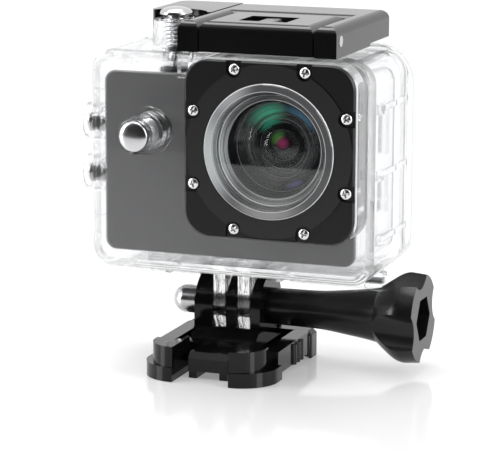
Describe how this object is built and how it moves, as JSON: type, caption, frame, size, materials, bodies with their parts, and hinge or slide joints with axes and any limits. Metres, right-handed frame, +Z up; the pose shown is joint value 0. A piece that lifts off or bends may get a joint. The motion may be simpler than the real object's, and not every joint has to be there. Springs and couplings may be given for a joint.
{
  "type": "action camera",
  "caption": "Compact action camera sealed in a clear diving case with a lift-up latch, push buttons and a round lens port, on a tilting three-prong quick-release buckle.",
  "frame": {"origin": "on the table, under the middle prong of the buckle", "axes": "+X along the tilt axis towards the thumb screw's grip, +Y from the lens towards the back door, +Z up"},
  "size_m": [0.0769, 0.0409, 0.0819],
  "materials": {
    "clear_polycarbonate": "polished",
    "black_gloss": "gloss",
    "black_satin": "satin",
    "grey_satin": "satin",
    "black_matte": "matte",
    "pale_silver": "satin",
    "dark_metal": "anodised",
    "ring_grey": "satin",
    "polished_metal": "polished",
    "steel": "plain",
    "spring_steel": "bright wire",
    "black_steel": "blackened",
    "seal_rubber": "matte",
    "white_silicone": "matte",
    "window_glass": "polished",
    "coated_glass": "coated",
    "display": "gloss",
    "green_board": "solder mask",
    "battery_wrap": "printed film",
    "light_pipe": "gloss"
  },
  "bodies": {
    "mount_base": {"buckle_body": "black_gloss", "cap_nut": "polished_metal"},
    "pinch_arm_left": {"buckle_arm_left": "black_gloss"},
    "pinch_arm_right": {"buckle_arm_right": "black_gloss"},
    "thumb_screw": {"thumb_knob": "black_satin", "thumb_screw_rod": "steel"},
    "case": {"case_front_shell": "clear_polycarbonate", "case_hinge_ears": "clear_polycarbonate", "port_bezel": "black_satin", "bezel_screws": "polished_metal", "port_ring": "ring_grey", "port_window": "window_glass", "port_gasket": "seal_rubber", "door_hinge_pin": "steel", "latch_pivot_pin": "steel", "button_seals": "seal_rubber", "top_spring": "spring_steel", "front_spring": "spring_steel", "side_upper_spring": "spring_steel", "side_lower_spring": "spring_steel", "camera_front_panel": "grey_satin", "camera_frame": "pale_silver", "camera_rear_cover": "black_matte", "lcd_window": "window_glass", "battery_door": "black_matte", "lens_barrel": "dark_metal", "lens_front_element": "coated_glass", "camera_screws": "black_steel", "lcd_panel": "display", "status_lights": "light_pipe", "battery": "battery_wrap", "key_switches": "black_matte", "main_board": "green_board", "memory_card": "display", "side_ports": "steel", "speaker": "black_matte", "lens_inner_ring": "dark_metal", "lens_second_element": "coated_glass", "lens_rear_element": "coated_glass", "lens_holder": "black_matte", "image_sensor": "display", "sensor_board": "green_board"},
    "back_door": {"back_door": "clear_polycarbonate", "door_seal": "white_silicone"},
    "latch_lever": {"latch_lever": "black_satin"},
    "latch_hook": {"latch_hook_frame": "black_satin", "latch_hook_pin": "steel"},
    "latch_slider": {"latch_slider": "grey_satin"},
    "top_plunger": {"top_plunger": "polished_metal", "top_clip": "black_steel"},
    "front_plunger": {"front_plunger": "polished_metal", "front_clip": "black_steel"},
    "side_upper_plunger": {"side_upper_plunger": "polished_metal", "side_upper_clip": "black_steel"},
    "side_lower_plunger": {"side_lower_plunger": "polished_metal", "side_lower_clip": "black_steel"},
    "shutter_key": {"shutter_key": "polished_metal"},
    "power_key": {"power_key": "polished_metal"},
    "upper_key": {"upper_key": "polished_metal"},
    "lower_key": {"lower_key": "polished_metal"}
  },
  "joints": [
    {"name": "tilt", "type": "hinge", "parent": "mount_base", "child": "case", "pos_m": [0, 0.007, 0.0124], "axis": [1, 0, 0], "range_deg": [-30, 35]},
    {"name": "thumb_screw_turn", "type": "hinge", "parent": "mount_base", "child": "thumb_screw", "pos_m": [0, 0.007, 0.0124], "axis": [1, 0, 0], "range_deg": [0, 720]},
    {"name": "pinch_left", "type": "hinge", "parent": "mount_base", "child": "pinch_arm_left", "pos_m": [-0.0126, 0.009, 0], "axis": [0, 0, 1], "range_deg": [0, 2.5], "stiffness_Nm_per_rad": 1},
    {"name": "pinch_right", "type": "hinge", "parent": "mount_base", "child": "pinch_arm_right", "pos_m": [0.0135, 0.009, 0], "axis": [0, 0, -1], "range_deg": [0, 2.5], "stiffness_Nm_per_rad": 1},
    {"name": "door_hinge", "type": "hinge", "parent": "case", "child": "back_door", "pos_m": [0, 0.0143, 0.0188], "axis": [-1, 0, 0], "range_deg": [0, 115]},
    {"name": "latch_lift", "type": "hinge", "parent": "case", "child": "latch_lever", "pos_m": [0, 0.0006, 0.077], "axis": [-1, 0, 0], "range_deg": [0, 110]},
    {"name": "latch_hook_turn", "type": "hinge", "parent": "latch_lever", "child": "latch_hook", "pos_m": [0, -0.01615, 0.0774], "axis": [-1, 0, 0], "range_deg": [-110, 0]},
    {"name": "latch_slide", "type": "slide", "parent": "latch_lever", "child": "latch_slider", "axis": [0, -1, 0], "range_m": [0, 0.0026]},
    {"name": "top_press", "type": "slide", "parent": "case", "child": "top_plunger", "axis": [0, 0, -1], "range_m": [0, 0.001], "stiffness_N_per_m": 600, "deforming": ["top_spring"]},
    {"name": "front_press", "type": "slide", "parent": "case", "child": "front_plunger", "axis": [0, 1, 0], "range_m": [0, 0.001], "stiffness_N_per_m": 600, "deforming": ["front_spring"]},
    {"name": "side_upper_press", "type": "slide", "parent": "case", "child": "side_upper_plunger", "axis": [1, 0, 0], "range_m": [0, 0.001], "stiffness_N_per_m": 600, "deforming": ["side_upper_spring"]},
    {"name": "side_lower_press", "type": "slide", "parent": "case", "child": "side_lower_plunger", "axis": [1, 0, 0], "range_m": [0, 0.001], "stiffness_N_per_m": 600, "deforming": ["side_lower_spring"]},
    {"name": "shutter_key_press", "type": "slide", "parent": "case", "child": "shutter_key", "axis": [0, 0, -1], "range_m": [0, 0.001]},
    {"name": "power_key_press", "type": "slide", "parent": "case", "child": "power_key", "axis": [0, 1, 0], "range_m": [0, 0.001]},
    {"name": "upper_key_press", "type": "slide", "parent": "case", "child": "upper_key", "axis": [1, 0, 0], "range_m": [0, 0.001]},
    {"name": "lower_key_press", "type": "slide", "parent": "case", "child": "lower_key", "axis": [1, 0, 0], "range_m": [0, 0.001]}
  ],
  "couplings": [
    {"joint": "latch_hook_turn", "follows": "latch_lift", "ratio": -1},
    {"joint": "shutter_key_press", "follows": "top_press", "ratio": 1},
    {"joint": "power_key_press", "follows": "front_press", "ratio": 1},
    {"joint": "upper_key_press", "follows": "side_upper_press", "ratio": 1},
    {"joint": "lower_key_press", "follows": "side_lower_press", "ratio": 1}
  ]
}
